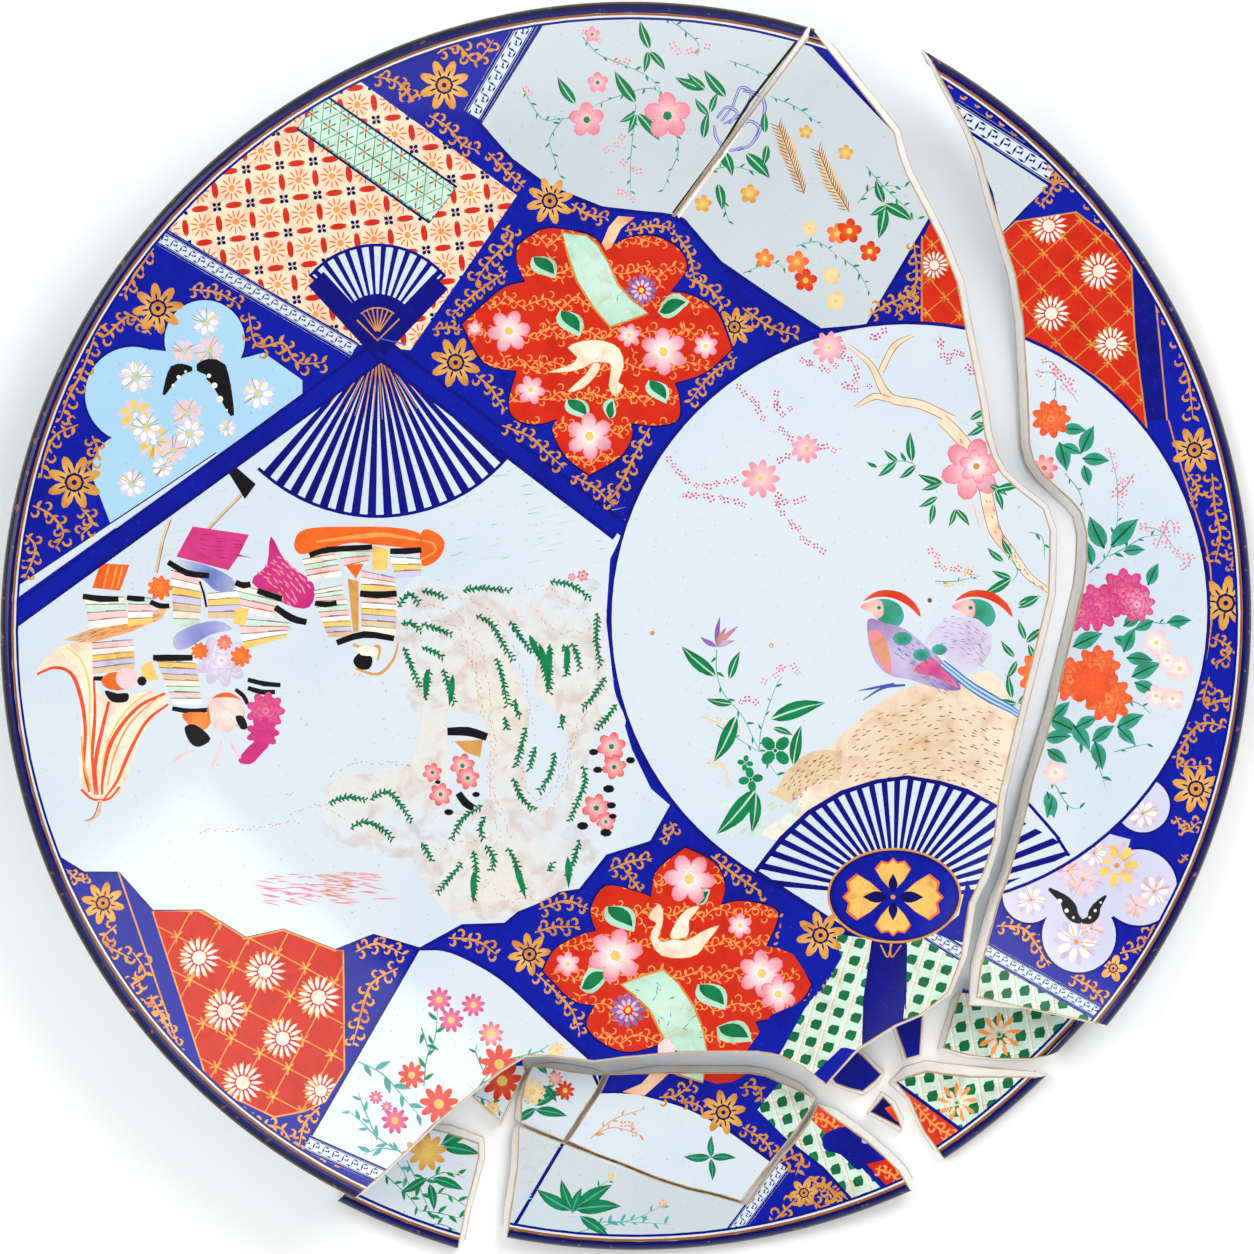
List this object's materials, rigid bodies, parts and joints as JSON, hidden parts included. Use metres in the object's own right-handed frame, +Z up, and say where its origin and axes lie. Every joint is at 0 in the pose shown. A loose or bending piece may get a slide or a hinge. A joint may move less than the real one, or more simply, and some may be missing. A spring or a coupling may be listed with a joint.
{
  "type": "broken decorative plate",
  "caption": "Large round footed porcelain dish broken into shards that lie where they fell, glazed and painted in blue, red, gold and green.",
  "frame": {"origin": "on the table, under the middle of the whole spread of shards", "axes": "+Z up out of the dish, +Y towards the rim opposite the small shards, +X towards the large loose crescent shard"},
  "size_m": [0.4574, 0.4564, 0.0489],
  "materials": {
    "painted_porcelain": "gloss",
    "cobalt_porcelain": "gloss"
  },
  "bodies": {
    "root": {"main_shard": "painted_porcelain", "right_shard": "painted_porcelain", "lattice_rim_shard": "painted_porcelain", "corner_rim_shard": "painted_porcelain", "blue_chip": "cobalt_porcelain", "red_blue_chip": "cobalt_porcelain", "handle_chip": "cobalt_porcelain", "left_panel_shard": "painted_porcelain", "fan_panel_shard": "painted_porcelain", "bottom_rim_shard": "painted_porcelain", "leaf_chip": "painted_porcelain", "floral_rim_shard": "painted_porcelain"}
  },
  "joints": []
}
